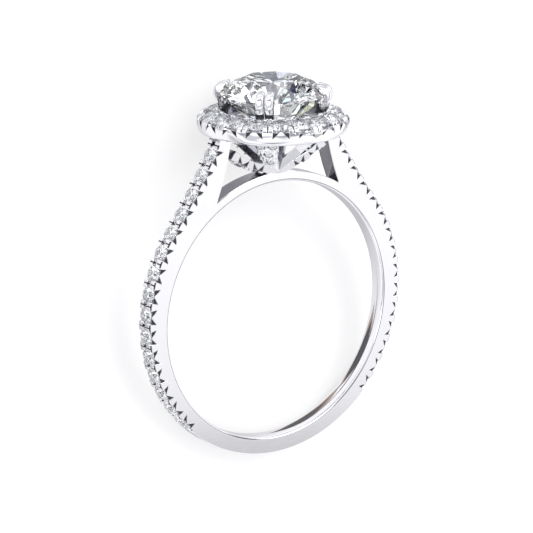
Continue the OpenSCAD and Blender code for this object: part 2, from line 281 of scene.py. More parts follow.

# %% [markdown]
# ## From drawing to piece
# A piece is drawn upright in a bmesh, laid down, shaded and handed to the frame.
# Metal is shaded smooth, but a sharp edge stays crisp, which is how polished metal
# catches light. Stones keep flat facets throughout. Marking the sharp edges by hand
# would be endless on so many small cuts, so their angle decides.

# %% Finish a piece and hide the parts it stands for
CRISP_EDGE = 32


def make_object(bm, name, materials):
    mesh = bpy.data.meshes.new(name)
    bm.to_mesh(mesh)
    bm.free()
    for material in materials:
        mesh.materials.append(material)
    piece = bpy.data.objects.new(name, mesh)
    bpy.context.scene.collection.objects.link(piece)
    return piece


def hand_over(bm, name, materials, nodes, crisp=None):
    bmesh.ops.recalc_face_normals(bm, faces=bm.faces[:])
    bmesh.ops.transform(bm, matrix=LIE_DOWN, verts=bm.verts[:])
    piece = make_object(bm, name, materials)
    if crisp is not None:
        piece.data.shade_smooth()
        piece.data.set_sharp_from_angle(angle=radians(crisp))
    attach(piece, "root")
    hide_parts(*nodes)
    print(name, "faces:", len(piece.data.polygons))


def hand_over_metal(bm, name):
    hand_over(bm, name, METALS, ["mounting"], CRISP_EDGE)


print("Metal edges stay crisp from", CRISP_EDGE, "degrees")

# %% [markdown]
# ## Brilliants, ground like real ones
# A cutter starts with a round blank and grinds one flat after another against the
# wheel. The facets could be worked out one by one as polygons, but the cutter's way
# is shorter and never leaves a gap: the blank is a cylinder, and each facet is one
# plane that cuts a slice off and closes the wound. The cut has a table, eight star
# facets, eight kites and sixteen upper girdle facets. Below the girdle it has eight
# pavilion mains and sixteen lower girdle facets. Their slopes follow from where
# they meet.

# %% Grind one stone
FOLDS = 8
EIGHTH, SIXTEENTH = radians(45), radians(22.5)


def grind(bm, distance, height, slope, azimuth, upward):
    """Cuts with a plane through a point, given its slope against the level."""
    outward = Vector((cos(azimuth), sin(azimuth), 0))
    normal = outward * sin(slope) + Vector((0, 0, cos(slope) * upward))
    found = bmesh.ops.bisect_plane(
        bm, geom=bm.verts[:] + bm.edges[:] + bm.faces[:], dist=1e-6,
        plane_co=outward * distance + Vector((0, 0, height)),
        plane_no=normal, clear_outer=True)
    rim = [g for g in found["geom_cut"] if isinstance(g, bmesh.types.BMEdge)]
    if rim:
        bmesh.ops.edgeloop_fill(bm, edges=rim)


def brilliant(radius, table, crown, pavilion, girdle, star, reach, sides):
    """A brilliant whose girdle lies at zero. The other sizes are shares of the
    radius: the star facets end at star, and the lower facets reach in to reach."""
    bm = bmesh.new()
    low = -girdle / 2 - pavilion
    high = girdle / 2 + crown
    bmesh.ops.create_cone(bm, cap_ends=True, segments=sides, radius1=1, radius2=1,
                          depth=high - low + 0.2)
    bmesh.ops.translate(bm, vec=(0, 0, (high + low) / 2), verts=bm.verts[:])
    half = SIXTEENTH / 2
    kite = atan(crown / (1 - table))
    rise = (1 - star * cos(SIXTEENTH)) * tan(kite)
    upper = atan(rise / (cos(half) * (1 - star)))
    flat = atan((crown - rise) / (star - table * cos(SIXTEENTH)))
    main = atan(pavilion)
    lower = atan((1 - reach * cos(SIXTEENTH)) * pavilion / (cos(half) * (1 - reach)))
    grind(bm, 0, high, 0, 0, 1)
    for k in range(FOLDS):
        turn = k * EIGHTH
        grind(bm, 1, girdle / 2, kite, turn, 1)
        grind(bm, 1, -girdle / 2, main, turn, -1)
        grind(bm, table * cos(SIXTEENTH), high, flat, turn + SIXTEENTH, 1)
        for side in (-half, half):
            grind(bm, cos(half), girdle / 2, upper, turn + side, 1)
            grind(bm, cos(half), -girdle / 2, lower, turn + side, -1)
    bmesh.ops.remove_doubles(bm, verts=bm.verts[:], dist=1e-5)
    bmesh.ops.scale(bm, vec=(radius, radius, radius), verts=bm.verts[:])
    return bm


print("Facets ground on one stone:", 1 + 7 * FOLDS)

# %% [markdown]
# ## The big stone
# The big stone is turned a little in its claws, as a setter leaves it. The rim could
# be painted by hand, but its faces are the only upright ones, so their normals tell
# which faces get the frost.

# %% Big stone
BIG_STONE_TURN = radians(7)
UPRIGHT = 0.1

big_stone = brilliant(GIRDLE_R, table=0.56, crown=0.29, pavilion=0.85, girdle=0.04,
                      star=0.79, reach=0.22, sides=64)
bmesh.ops.rotate(big_stone, matrix=Matrix.Rotation(BIG_STONE_TURN, 3, "Z"),
                 verts=big_stone.verts[:])
bmesh.ops.translate(big_stone, vec=(0, 0, GIRDLE_Z), verts=big_stone.verts[:])
big_stone.normal_update()
for face in big_stone.faces:
    face.material_index = 1 if abs(face.normal.z) < UPRIGHT else 0
hand_over(big_stone, "big_brilliant", [big_stone_finish, girdle_finish],
          ["center_stone"])

# %% [markdown]
# ## Small stones
# The small stones sit in rows: one on each shoulder, one under the bridge, one round
# the halo. They could be put down one at a time, but a row that follows a path keeps
# its spacing. The band's path is measured as a run, which is zero where the shoulder
# leaves the round band, grows up to the head and is below zero on the round part.

# %% Paths that the stones follow
def frame_at(place, across, up):
    """A matrix that puts a detail's X and Z along two directions."""
    x, z = Vector(across).normalized(), Vector(up).normalized()
    y = z.cross(x)
    return Matrix((
        (x.x, y.x, z.x, place[0]), (x.y, y.y, z.y, place[1]),
        (x.z, y.z, z.z, place[2]), (0, 0, 0, 1)))


def band_path(run, rise=0, side=1):
    """X, Z and turn at a run along the band, a rise above it, on one side."""
    if run >= 0:
        turn = SHOULDER_ANGLE + run / SHOULDER_R
        x = TANGENT[0] + SHOULDER_R * (sin(SHOULDER_ANGLE) - sin(turn))
        z = TANGENT[1] + SHOULDER_R * (cos(SHOULDER_ANGLE) - cos(turn))
    else:
        turn = SHOULDER_ANGLE - run / OUTER_R
        x, z = OUTER_R * sin(turn), OUTER_Z + OUTER_R * cos(turn)
    return side * (x + rise * sin(turn)), z + rise * cos(turn), side * turn


def on_band(run, rise=0, side=1, y=0):
    x, z, turn = band_path(run, rise, side)
    return frame_at((x, y, z), (cos(turn), 0, -sin(turn)), (sin(turn), 0, cos(turn)))


def on_bridge(angle, rise=0, y=0):
    """A place on the bridge's lower face, measured from its lowest point."""
    r = BRIDGE_R + BRIDGE_T + rise
    down = (sin(angle), 0, -cos(angle))
    return frame_at((r * down[0], y, BRIDGE_Z + r * down[2]),
                    (cos(angle), 0, sin(angle)), down)


def halo_turn(steps):
    """Turns a detail round the halo by steps of one stone."""
    return Matrix.Rotation(radians(steps * 360 / HALO_COUNT), 4, "Z")


def on_halo_stone(index):
    return (halo_turn(index + 0.5)
            @ Matrix.Translation((0, -HALO_ROW_R, HALO_ROW_Z))
            @ Matrix.Rotation(HALO_LEAN, 4, "X"))


BRIDGE_ANGLES = [radians(a) for a in (-31, -17.5, 17.5, 31)]
print("Stones under the bridge:", len(BRIDGE_ANGLES))

# %% [markdown]
# The posts under the four prongs are set on their slanting outer faces: two stones
# side by side at the top, then one below the other as the post narrows. Each place
# is a share of the way up, a share of the spacing across, and a size. Four turns by
# a quarter then fill all posts from one list.

# %% Places on the posts
PRONGS = [Matrix.Rotation(radians(a), 4, "Z") for a in (45, 135, 225, 315)]
POST_FOOT = Vector((0.62, 0, 9.34))
POST_RUN = Vector((3.62, 0, 12.05)) - POST_FOOT
POST_FACE = frame_at((0, 0, 0), POST_RUN, (POST_RUN.z, 0, -POST_RUN.x))
POST_PLACES = [(0.74, 0.5, 1), (0.74, -0.5, 1), (0.49, 0, 1), (0.26, 0, 0.85)]
POST_STONE, POST_SPACING = 0.66, 0.78

post_stones = [
    prong @ Matrix.Translation(POST_FOOT + POST_RUN * up
                               + Vector((0, across * POST_SPACING, 0)))
    @ POST_FACE @ Matrix.Scale(size, 4)
    for prong in PRONGS for up, across, size in POST_PLACES]
print("Places on the posts:", len(post_stones))

# %% [markdown]
# All small stones are the same cut at different sizes, so one is ground and then
# copied to its places. Linked objects would be lighter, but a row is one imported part
# and so it is one piece. Every stone of the halo is a piece of its own.

# %% Set the small stones
BRIDGE_STONE = 1
STONE_SINK = 0.15


def copies(source, target, matrices, keep=False):
    """Adds one copy of the source mesh to the target for each matrix, and then
    clears the source away unless it is kept."""
    mesh = bpy.data.meshes.new("pattern")
    source.to_mesh(mesh)
    for matrix in matrices:
        start = len(target.verts)
        target.from_mesh(mesh)
        target.verts.ensure_lookup_table()
        bmesh.ops.transform(target, matrix=matrix, verts=target.verts[start:])
    bpy.data.meshes.remove(mesh)
    if not keep:
        source.free()


def set_stones(name, node, diameter, places):
    pattern = brilliant(diameter / 2, table=0.58, crown=0.3, pavilion=0.8,
                        girdle=0.06, star=0.78, reach=0.25, sides=32)
    bmesh.ops.translate(pattern, vec=(0, 0, -STONE_SINK), verts=pattern.verts[:])
    field = bmesh.new()
    copies(pattern, field, places)
    hand_over(field, name, [small_stone_finish], [node])


set_stones("band_brilliants_left", "band_stones_left", BAND_STONE,
           [on_band(run, side=-1) for run in ROW_RUNS])
set_stones("band_brilliants_right", "band_stones_right", BAND_STONE,
           [on_band(run) for run in ROW_RUNS])
set_stones("bridge_brilliants", "bridge_stones", BRIDGE_STONE,
           [on_bridge(a) for a in BRIDGE_ANGLES])
set_stones("post_brilliants", "post_stones", POST_STONE, post_stones)
for index in range(HALO_COUNT):
    set_stones(f"halo_brilliant_{index + 1:02d}", f"halo_stone_{index + 1:02d}",
               HALO_STONE, [on_halo_stone(index)])

# %% [markdown]
# ## The band
# The band is one bar bent round the finger. Its two side walls rise to the stones
# and are cut in fishtails: beside each stone a graver takes out two slim triangles
# and leaves a bright peak between them. A straight bar could be bent, but the cuts
# would stretch with it, so the side view is drawn as one flat outline instead. A
# second outline, lower under the stones, makes the bar between the walls.

# %% Outlines of the shank
SHOULDER_RUN = radians(9) * SHOULDER_R
ROW_TOP, ROW_END = ROW_RUNS[0] + PITCH / 2, ROW_RUNS[-1] - PITCH / 2
PLAIN_ABOVE, PLAIN_BELOW = ROW_TOP + 0.2, ROW_END - 0.05
ROUND_STEPS, WINDOW_STEPS, ARCH_STEPS, CORE_STEPS = 24, 8, 24, 40
ARCH_HALF = radians(31.5)
SHOULDER_IN, SHOULDER_BOW = 3.7, 0.15
CORE_RISE = -0.72
# Way along the band and rise of each corner beside one stone.
FISHTAIL = [(0.7, -0.1), (0.56, -0.1), (0.42, -0.11), (0.5, -0.54), (0.05, -0.19),
            (-0.05, -0.19), (-0.5, -0.54), (-0.42, -0.11), (-0.56, -0.1)]


def outer_line(row):
    """Run and rise of one side, from the head down to the ring's lowest point."""
    lowest = -(pi - SHOULDER_ANGLE) * OUTER_R
    plain = [(PLAIN_BELOW + (lowest - PLAIN_BELOW) * k / ROUND_STEPS, 0)
             for k in range(ROUND_STEPS + 1)]
    return [(SHOULDER_RUN, 0), (PLAIN_ABOVE, 0)] + row + plain


def shank_outline(row):
    """Both outer sides, then the inner side of each shoulder and the arch."""
    right = [band_path(run, rise)[:2] for run, rise in outer_line(row)]
    arch_x, arch_z = ARCH_R * sin(ARCH_HALF), ARCH_R * cos(ARCH_HALF)
    window = []
    for k in range(WINDOW_STEPS, -1, -1):
        share = k / WINDOW_STEPS
        bow = 4 * share * (1 - share) * SHOULDER_BOW
        window.append((arch_x + (SHOULDER_IN - arch_x) * share - bow,
                       arch_z + (SHOULDER_TOP - arch_z) * share))
    turns = [ARCH_HALF * (1 - 2 * k / ARCH_STEPS) for k in range(1, ARCH_STEPS)]
    arch = [(ARCH_R * sin(a), ARCH_R * cos(a)) for a in turns]
    outline = right + [(-x, z) for x, z in reversed(right[:-1])]
    outline += [(-x, z) for x, z in window]
    return outline + arch[::-1] + window[::-1]


wall_row = [(run + s, n) for run in ROW_RUNS for s, n in FISHTAIL] + [(ROW_END, -0.1)]
core_row = [(PLAIN_ABOVE + (ROW_END - PLAIN_ABOVE) * k / CORE_STEPS, CORE_RISE)
            for k in range(CORE_STEPS + 1)]
print("Points in the wall's outline:", len(shank_outline(wall_row)))

# %% [markdown]
# The goldsmith saws such a wall out of sheet and rounds its edges with a file. Here
# too the outline is filled, with the finger hole in it, and pushed out to its
# thickness. A bevel would trip over the many tiny cuts, so the front face is inset
# and raised in two small steps, which rounds all its edges at once.

# %% Plates with a rounded front
FINGER_STEPS = 180
EDGE_STEPS = (0.38, 0.16)


def trace(bm, points):
    """Draws a closed outline from points and returns its edges."""
    verts = [bm.verts.new(p) for p in points]
    return [bm.edges.new((verts[k - 1], verts[k])) for k in range(len(verts))]


def push_out(bm):
    """Extrudes all faces. The new corners and faces still have to be moved."""
    grown = bmesh.ops.extrude_face_region(bm, geom=bm.faces[:])["geom"]
    return ([g for g in grown if isinstance(g, bmesh.types.BMVert)],
            [g for g in grown if isinstance(g, bmesh.types.BMFace)])


def thicken(bm, depth):
    """Makes a plate of all faces, pushed to the back by a depth."""
    corners, _ = push_out(bm)
    bmesh.ops.translate(bm, vec=(0, depth, 0), verts=corners)
    bmesh.ops.recalc_face_normals(bm, faces=bm.faces[:])


def plate(outline, y_front, y_back, hole_r=None):
    """Fills an outline, with a hole where one is asked for, and thickens it."""
    bm = bmesh.new()
    trace(bm, [(x, y_front, z) for x, z in outline])
    if hole_r:
        turns = [2 * pi * k / FINGER_STEPS for k in range(FINGER_STEPS)]
        trace(bm, [(hole_r * sin(a), y_front, hole_r * cos(a)) for a in turns])
    bmesh.ops.triangle_fill(bm, use_beauty=True, use_dissolve=False, edges=bm.edges[:])
    thicken(bm, y_back - y_front)
    return bm


def soften_front(bm, y_front, rounding):
    """Rounds the edges of a plate's front face in two steps."""
    for share in EDGE_STEPS:
        depth = rounding * (sum(EDGE_STEPS) - share)
        front = [f for f in bm.faces if f.calc_center_median().y < y_front + 1e-4
                 and abs(f.normal.y) > 0.9]
        bmesh.ops.inset_region(bm, faces=front, thickness=rounding * share,
                               depth=depth, use_even_offset=True, use_boundary=True)
        y_front -= depth


print("A front edge is rounded in steps:", len(EDGE_STEPS))

# %% [markdown]
# Both walls are the same, so one is made and mirrored. The graver's cuts get painted
# shade, so they have to be told from the smooth rim, which faces straight out from the
# finger. The bar between the walls lies in their shade, painted on its rim as deep
# shade.

# %% Walls and the bar between them
WALL_T, ROUNDING = 0.1, 0.05
WALL_FRONT, WALL_BACK = -HALF_W + sum(EDGE_STEPS) * ROUNDING, -HALF_W + WALL_T
CORE_HALF = HALF_W - WALL_T + 0.01
HOLE_R = FINGER_R + 0.15
BOTH_SIDES = [Matrix.Identity(4), Matrix.Scale(-1, 4, (0, 1, 0))]


def is_cut(face):
    """Whether a face of the wall belongs to a fishtail and not to the smooth rim:
    it is no sliver, doesn't face straight out and lies outside the head."""
    centre = face.calc_center_median()
    out = Vector((centre.x, 0, centre.z - OUTER_Z))
    level = Vector((face.normal.x, 0, face.normal.z))
    return (abs(face.normal.y) < 0.5 and face.calc_area() > 0.02
            and out.length > FINGER_R + 0.5 and level.dot(out.normalized()) < 0.93
            and centre.z < SHOULDER_TOP - 0.4 and abs(centre.x) > 3.9)


def add_mesh(target, source):
    copies(source, target, [Matrix.Identity(4)])


def add_core(target, outline, hole_r=None):
    """Adds the bar between two walls, with painted deep shade on its rim."""
    core = plate(outline, -CORE_HALF, CORE_HALF, hole_r)
    for face in core.faces:
        if abs(face.normal.y) < 0.5:
            face.material_index = DEEP_SHADE
    add_mesh(target, core)


band = bmesh.new()
wall = plate(shank_outline(wall_row), WALL_FRONT, WALL_BACK, HOLE_R)
soften_front(wall, WALL_FRONT, ROUNDING)
for face in wall.faces:
    face.material_index = CUT_SHADE if is_cut(face) else POLISHED
copies(wall, band, BOTH_SIDES)
add_core(band, shank_outline(core_row), HOLE_R)
print("Walls and bar, faces:", len(band.faces))

# %% [markdown]
# The inside of the band is a comfort fit: the finger side is slightly domed and its
# edges roll over, so the ring slides on easily. Bevelling the hole's edge would give
# the roll but not the dome. One small outline, spun round the finger's axis, gives
# the whole inner surface without a seam. Its outermost strip lies in shade, which is
# painted into its darker tone.

# %% The inner surface, spun
ROLL_FROM, ROLL_WIDTH, ROLL_RISE = 0.36, 0.299, 0.16
LINING_HALF = ROLL_FROM + ROLL_WIDTH
LINING_BACK = FINGER_R + 0.3
SHADED_FROM = 0.64


def spin_outline(points, axis, steps):
    """Spins a closed outline round an axis through zero."""
    bm = bmesh.new()
    edges = trace(bm, points)
    bmesh.ops.spin(bm, geom=bm.verts[:] + edges, cent=(0, 0, 0), axis=axis,
                   angle=2 * pi, steps=steps, use_merge=True)
    bmesh.ops.remove_doubles(bm, verts=bm.verts[:], dist=1e-5)
    bmesh.ops.recalc_face_normals(bm, faces=bm.faces[:])
    return bm


roll = [(ROLL_FROM + ROLL_WIDTH * sin(a), FINGER_R + ROLL_RISE * (1 - cos(a)))
        for a in [radians(15 * k) for k in range(7)]]
liner = [(0, y, r) for y, r in reversed(roll)] + [(0, -y, r) for y, r in roll]
liner += [(0, -LINING_HALF, LINING_BACK), (0, LINING_HALF, LINING_BACK)]
lining = spin_outline(liner, (0, 1, 0), FINGER_STEPS)
for face in lining.faces:
    middle = face.calc_center_median()
    inside = hypot(middle.x, middle.z) < FINGER_R + ROLL_RISE + 0.01
    if inside and abs(middle.y) > SHADED_FROM:
        face.material_index = DEEP_SHADE
add_mesh(band, lining)
print("With the comfort fit, faces:", len(band.faces))

# %% [markdown]
# Between the walls each stone sits in a cone-shaped pit, drilled with a burr. A cone
# could be cut out of the bar, but that is slow and fragile. Instead a grid the size
# of one pitch is pressed down to the cone and then bent onto the band. The pits are
# satin, their darker tone is painted shade, and they make the clear stones above them
# look deep.

# %% Pits under the stones of the band
PIT_SLOPE = 0.86
BETWEEN_WALLS = HALF_W - 0.06


def push_down_to(bm, level):
    """Closes a surface below at one level and returns the lowest faces."""
    corners, faces = push_out(bm)
    for v in corners:
        v.co.z = level
    return faces


def pit_block(half_run, half_y, reach, rim, floor, cells):
    """A grid with a cone pressed into it, closed below."""
    bm = bmesh.new()
    bmesh.ops.create_grid(bm, x_segments=cells[0], y_segments=cells[1], size=1)
    bmesh.ops.scale(bm, vec=(half_run, half_y, 1), verts=bm.verts[:])
    for v in bm.verts:
        v.co.z = rim - PIT_SLOPE * max(0, reach - hypot(v.co.x, v.co.y))
    push_down_to(bm, floor)
    bm.normal_update()
    for face in bm.faces:
        face.material_index = CUT_SHADE if abs(face.normal.y) > 0.9 else SEAT_SHADE
    return bm


def bend_to_band(bm, run, side):
    for v in bm.verts:
        x, z, turn = band_path(run - v.co.x, v.co.z, side)
        v.co = (x, v.co.y, z)


for side in (-1, 1):
    for run in ROW_RUNS:
        pit = pit_block(half_run=PITCH / 2, half_y=BETWEEN_WALLS, reach=0.63,
                        rim=-0.21, floor=-0.82, cells=(14, 12))
        bend_to_band(pit, run, side)
        bmesh.ops.recalc_face_normals(pit, faces=pit.faces[:])
        add_mesh(band, pit)
print("With the pits, faces:", len(band.faces))

# %% [markdown]
# Where two stones meet, the setter leaves four small beads, two at each wall. A
# saw cut parts them from each other and from the wall, which draws the small plus
# signs that run down the edge. Each bead is a block with a rounded top. The cuts
# could be taken out of the beads, but at this size a dark sliver of painted shade in
# the gap looks the same and can't go wrong.

# %% Beads of the band
def block(width, depth, height, middle):
    bm = bmesh.new()
    bmesh.ops.create_cube(bm, size=1)
    bmesh.ops.scale(bm, vec=(width, depth, height), verts=bm.verts[:])
    bmesh.ops.translate(bm, vec=middle, verts=bm.verts[:])
    return bm


def round_edges(bm, edges, rounding, steps):
    bmesh.ops.bevel(bm, geom=edges, offset=rounding, offset_type="OFFSET",
                    segments=steps, profile=0.5, affect="EDGES", material=-1)


def pad(width, depth, height, rounding, steps):
    """A block with its top at zero, rounded there and down its sides."""
    bm = block(width, depth, height, (0, 0, -height / 2))
    high = [e for e in bm.edges if max(v.co.z for v in e.verts) > -0.01]
    round_edges(bm, high, rounding, steps)
    return bm


def shade_sliver(width, depth, height, middle=None):
    """A dark sliver of painted shade that fills a saw cut and shows as a thin line. It
    hangs from zero unless a middle is given."""
    bm = block(width, depth, height, middle or (0, 0, -height / 2))
    for face in bm.faces:
        face.material_index = CUT_SHADE
    return bm


BEAD_RISE, BEAD_SHIFT, BEAD_Y = 0.015, 0.16, 0.375
CROSS_RISE, CROSS_Y = -0.05, 0.38
LONG_RISE, LONG_Y = -0.07, 0.592
gap_runs = [run + PITCH / 2 for run in ROW_RUNS] + [ROW_END]
gaps = [(side, run) for side in (-1, 1) for run in gap_runs]
copies(pad(0.245, 0.37, 0.5, rounding=0.05, steps=3), band, [
    on_band(run + shift, BEAD_RISE, side, y) for side, run in gaps
    for shift in (-BEAD_SHIFT, BEAD_SHIFT) for y in (-BEAD_Y, BEAD_Y)])
copies(shade_sliver(0.075, 0.38, 0.4), band, [
    on_band(run, CROSS_RISE, side, y)
    for side, run in gaps for y in (-CROSS_Y, CROSS_Y)])
copies(shade_sliver(0.44, 0.06, 0.4), band, [
    on_band(run, LONG_RISE, side, y)
    for side, run in gaps for y in (-LONG_Y, LONG_Y)])
hand_over_metal(band, "band")

# %% [markdown]
# ## The bridge
# Under the head a curved bridge ties the shoulders together. It is a short arc of
# the same make as the band, hanging like a smile with its stones on the lower side.
# It could be a piece of the band, bent the other way, but a new outline with the
# same fishtails is drawn faster than the band is cut up.

# %% The bridge's outline
BRIDGE_HALF, BRIDGE_STEPS = radians(41), 36
BRIDGE_OUT = BRIDGE_R + BRIDGE_T


def in_order(plain, stones):
    """Keeps each stone's notches together, from one end of the bridge to the other."""
    size = len(FISHTAIL) + 1
    parts = [[p] for p in plain]
    parts += [stones[k:k + size] for k in range(0, len(stones), size)]
    parts.sort(key=lambda part: sum(p[0] for p in part) / len(part))
    return [p for part in parts for p in part]


def bridge_outline(flat_rise=None):
    """The side view, with fishtails, or with one flat rise beside the stones."""
    turns = [BRIDGE_HALF * (2 * k / BRIDGE_STEPS - 1) for k in range(BRIDGE_STEPS + 1)]
    plain = [(turn, 0) for turn in turns
             if all(abs(turn - a) * BRIDGE_OUT > 0.68 for a in BRIDGE_ANGLES)]
    stones = []
    for a in BRIDGE_ANGLES:
        stones += [(a - s * 0.9 / BRIDGE_OUT, n) for s, n in FISHTAIL]
        stones += [(a + 0.63 / BRIDGE_OUT, -0.1)]
    if flat_rise is None:
        lower = in_order(plain, stones)
    else:
        lower = sorted(plain + [(a, flat_rise) for a, n in stones])
    points = [((BRIDGE_OUT + n) * sin(a), BRIDGE_Z - (BRIDGE_OUT + n) * cos(a))
              for a, n in lower]
    return points + [(BRIDGE_R * sin(a), BRIDGE_Z - BRIDGE_R * cos(a))
                     for a in reversed(turns)]


print("Points in the bridge's outline:", len(bridge_outline()))

# %% [markdown]
# From here the bridge is made like the band: two walls and a bar between them, a pit
# for each stone and four beads round it. Little light reaches it, so its fronts get
# the satin tone and its cuts the deep one, both painted shade.

# %% Bridge
bridge = bmesh.new()
wall = plate(bridge_outline(), WALL_FRONT, WALL_BACK)
soften_front(wall, WALL_FRONT, ROUNDING)
for face in wall.faces:
    face.material_index = SEAT_SHADE if abs(face.normal.y) > 0.3 else DEEP_SHADE
copies(wall, bridge, BOTH_SIDES)
add_core(bridge, bridge_outline(-0.5))
pit = pit_block(half_run=0.62, half_y=BETWEEN_WALLS, reach=0.53, rim=-0.2,
                floor=-0.6, cells=(12, 12))
copies(pit, bridge, [on_bridge(angle) for angle in BRIDGE_ANGLES])
copies(pad(0.22, 0.34, 0.4, rounding=0.05, steps=2), bridge, [
    on_bridge(a + shift / BRIDGE_OUT, 0.01, y)
    for a in BRIDGE_ANGLES for shift in (-0.5, 0.5) for y in (-0.36, 0.36)])
hand_over_metal(bridge, "bridge")

# %% [markdown]
# ## The halo
# The halo is a round gallery whose wall swells outwards like a cushion and whose
# top leans out a little. It could be spun, but then its fishtails would have to be
# cut into a curved wall. So one twenty-degree cell is drawn flat, cut into strips
# so that it can bend, pressed onto the wall's curve and repeated eighteen times.

# %% The halo's outside as a curve
ARC_R = 4.95
HALO_CURVE = [(4.6, 11.95), (4.74, 12.03), (4.85, 12.2), (4.912, 12.42),
              (4.955, 12.66), (4.928, 12.86), (4.84, 13.03),
              (4.72, 13.13), (4.5, 13.2), (4.3, 13.27)]
for _ in range(2):
    softer = [HALO_CURVE[0]]
    for (r0, z0), (r1, z1) in zip(HALO_CURVE, HALO_CURVE[1:]):
        softer += [(0.75 * r0 + 0.25 * r1, 0.75 * z0 + 0.25 * z1),
                   (0.25 * r0 + 0.75 * r1, 0.25 * z0 + 0.75 * z1)]
    HALO_CURVE = softer + [HALO_CURVE[-1]]
lengths = [0]
for (r0, z0), (r1, z1) in zip(HALO_CURVE, HALO_CURVE[1:]):
    lengths.append(lengths[-1] + hypot(r1 - r0, z1 - z0))


def on_halo_curve(along, depth):
    """Radius and height at a way along the curve, a depth under its surface."""
    k = 0
    while k < len(lengths) - 2 and along > lengths[k + 1]:
        k += 1
    (r0, z0), (r1, z1) = HALO_CURVE[k], HALO_CURVE[k + 1]
    share = (along - lengths[k]) / (lengths[k + 1] - lengths[k])
    run = hypot(r1 - r0, z1 - z0)
    return (r0 + (r1 - r0) * share - depth * (z1 - z0) / run,
            z0 + (z1 - z0) * share + depth * (r1 - r0) / run)


def bend_to_halo(bm):
    """Bends a flat cell: X runs round the halo, Y inwards and Z up its curve."""
    for v in bm.verts:
        r, z = on_halo_curve(v.co.z, v.co.y)
        angle = v.co.x / ARC_R
        v.co = (r * sin(angle), -r * cos(angle), z)
    bmesh.ops.recalc_face_normals(bm, faces=bm.faces[:])


def slice_up(bm, axis, cuts):
    """Cuts a flat cell into strips so that it can bend."""
    normal = Vector([1 if k == axis else 0 for k in range(3)])
    for cut in cuts:
        bmesh.ops.bisect_plane(bm, geom=bm.verts[:] + bm.edges[:] + bm.faces[:],
                               dist=1e-6, plane_co=normal * cut, plane_no=normal)


print("Length of the halo's curve:", round(lengths[-1], 3))

# %% [markdown]
# The cell runs from the middle of one gap between two stones to the next, with a
# fishtail on each side of a slim peak. Its two ends are taken off, so that the
# eighteen copies close to one wall when their corners are merged.

# %% The halo's wall
HALF_STEP = radians(180 / HALO_COUNT)
CELL = HALF_STEP * ARC_R
STUDS_FROM = CELL - 0.355
HALO_WALL_T = 0.14
cell_line = [(-CELL, 0), (CELL, 0), (CELL, 1), (STUDS_FROM + 0.02, 1),
             (STUDS_FROM + 0.05, 0.61), (0.06, 1.08), (-0.06, 1.08),
             (-STUDS_FROM - 0.05, 0.61), (-STUDS_FROM - 0.02, 1), (-CELL, 1)]
cell = bmesh.new()
trace(cell, [(x, 0, z) for x, z in cell_line])
bmesh.ops.triangle_fill(cell, use_beauty=True, use_dissolve=True, edges=cell.edges[:])
thicken(cell, HALO_WALL_T)
# The fishtail's faces get painted shade.
for face in cell.faces:
    middle = face.calc_center_median()
    if abs(face.normal.y) < 0.5 and middle.z > 0.1 and abs(middle.x) < CELL - 0.2:
        face.material_index = CUT_SHADE
ends = [f for f in cell.faces if abs(f.normal.x) > 0.99
        and abs(f.calc_center_median().x) > CELL - 0.001]
bmesh.ops.delete(cell, geom=ends, context="FACES_ONLY")
slice_up(cell, 0, [CELL * k / 6 for k in range(-5, 6)])
slice_up(cell, 2, [0.08 * k for k in range(1, 13)])
bend_to_halo(cell)

halo = bmesh.new()
stone_turns = [halo_turn(k + 0.5) for k in range(HALO_COUNT)]
gap_turns = [halo_turn(k) for k in range(HALO_COUNT)]
copies(cell, halo, stone_turns)
bmesh.ops.remove_doubles(halo, verts=halo.verts[:], dist=1e-4)
print("Halo wall, faces:", len(halo.faces))

# %% [markdown]
# In each gap between two stones stand two studs, parted by a saw cut. A stud is a
# block with soft edges that reaches over the wall's top. It is bent along the same
# curve as the wall, because a straight block would stick out of it.

# %% Studs and saw cuts of the halo
stud = block(0.325, 0.34, 1, (0, 0.18, 1.17))
round_edges(stud, stud.edges[:], 0.055, 3)
slice_up(stud, 2, [0.73 + 0.06 * k for k in range(15)])
slice_up(stud, 0, [-0.09, 0, 0.09])
for shift in (-0.19, 0.19):
    one = stud.copy()
    bmesh.ops.translate(one, vec=(shift, 0, 0), verts=one.verts[:])
    bend_to_halo(one)
    copies(one, halo, gap_turns)
stud.free()
# The saw cut between the studs is a dark sliver of painted shade.
slot_shade = shade_sliver(0.06, 0.2, 0.86, (0, 0.15, 1.23))
slice_up(slot_shade, 2, [0.86 + 0.06 * k for k in range(13)])
bend_to_halo(slot_shade)
copies(slot_shade, halo, gap_turns)
print("Halo wall and studs, faces:", len(halo.faces))

# %% [markdown]
# Behind the wall the gallery is solid up to the seats, with a low rim towards the
# big stone. Nothing interrupts it, so its outline is spun. Its inner side looks into
# the dark under the big stone, which is painted on it as deep shade.

# %% The halo's body
body_line = [(3.38, 13.38), (3.44, 13.43), (3.52, 13.4), (3.54, 13.3), (3.54, 12.66),
             (4.84, 12.66), (4.84, 12.45), (4.74, 12.2), (4.6, 11.951), (3.92, 11.95),
             (3.86, 11.98), (3.38, 12.66)]
body = spin_outline([(r, 0, z) for r, z in body_line], (0, 0, 1), 108)
for face in body.faces:
    middle = face.calc_center_median()
    if hypot(middle.x, middle.y) < 3.7 and middle.z < 13.3:
        face.material_index = DEEP_SHADE
add_mesh(halo, body)
print("With the body, faces:", len(halo.faces))

# %% [markdown]
# The halo's stones lean outwards, and so do their seats. As on the band, a grid is
# pressed down to a cone, but here it is shaped directly as one step of the ring,
# because the halo is too narrow to bend a straight pit round it cleanly. Two beads
# on the inner side of each gap hold the stones.

# %% Seats and inner beads of the halo
SEAT_R, SEAT_REACH, SEAT_RIM, SEAT_FLOOR = 4.18, 0.66, -0.22, 12.4

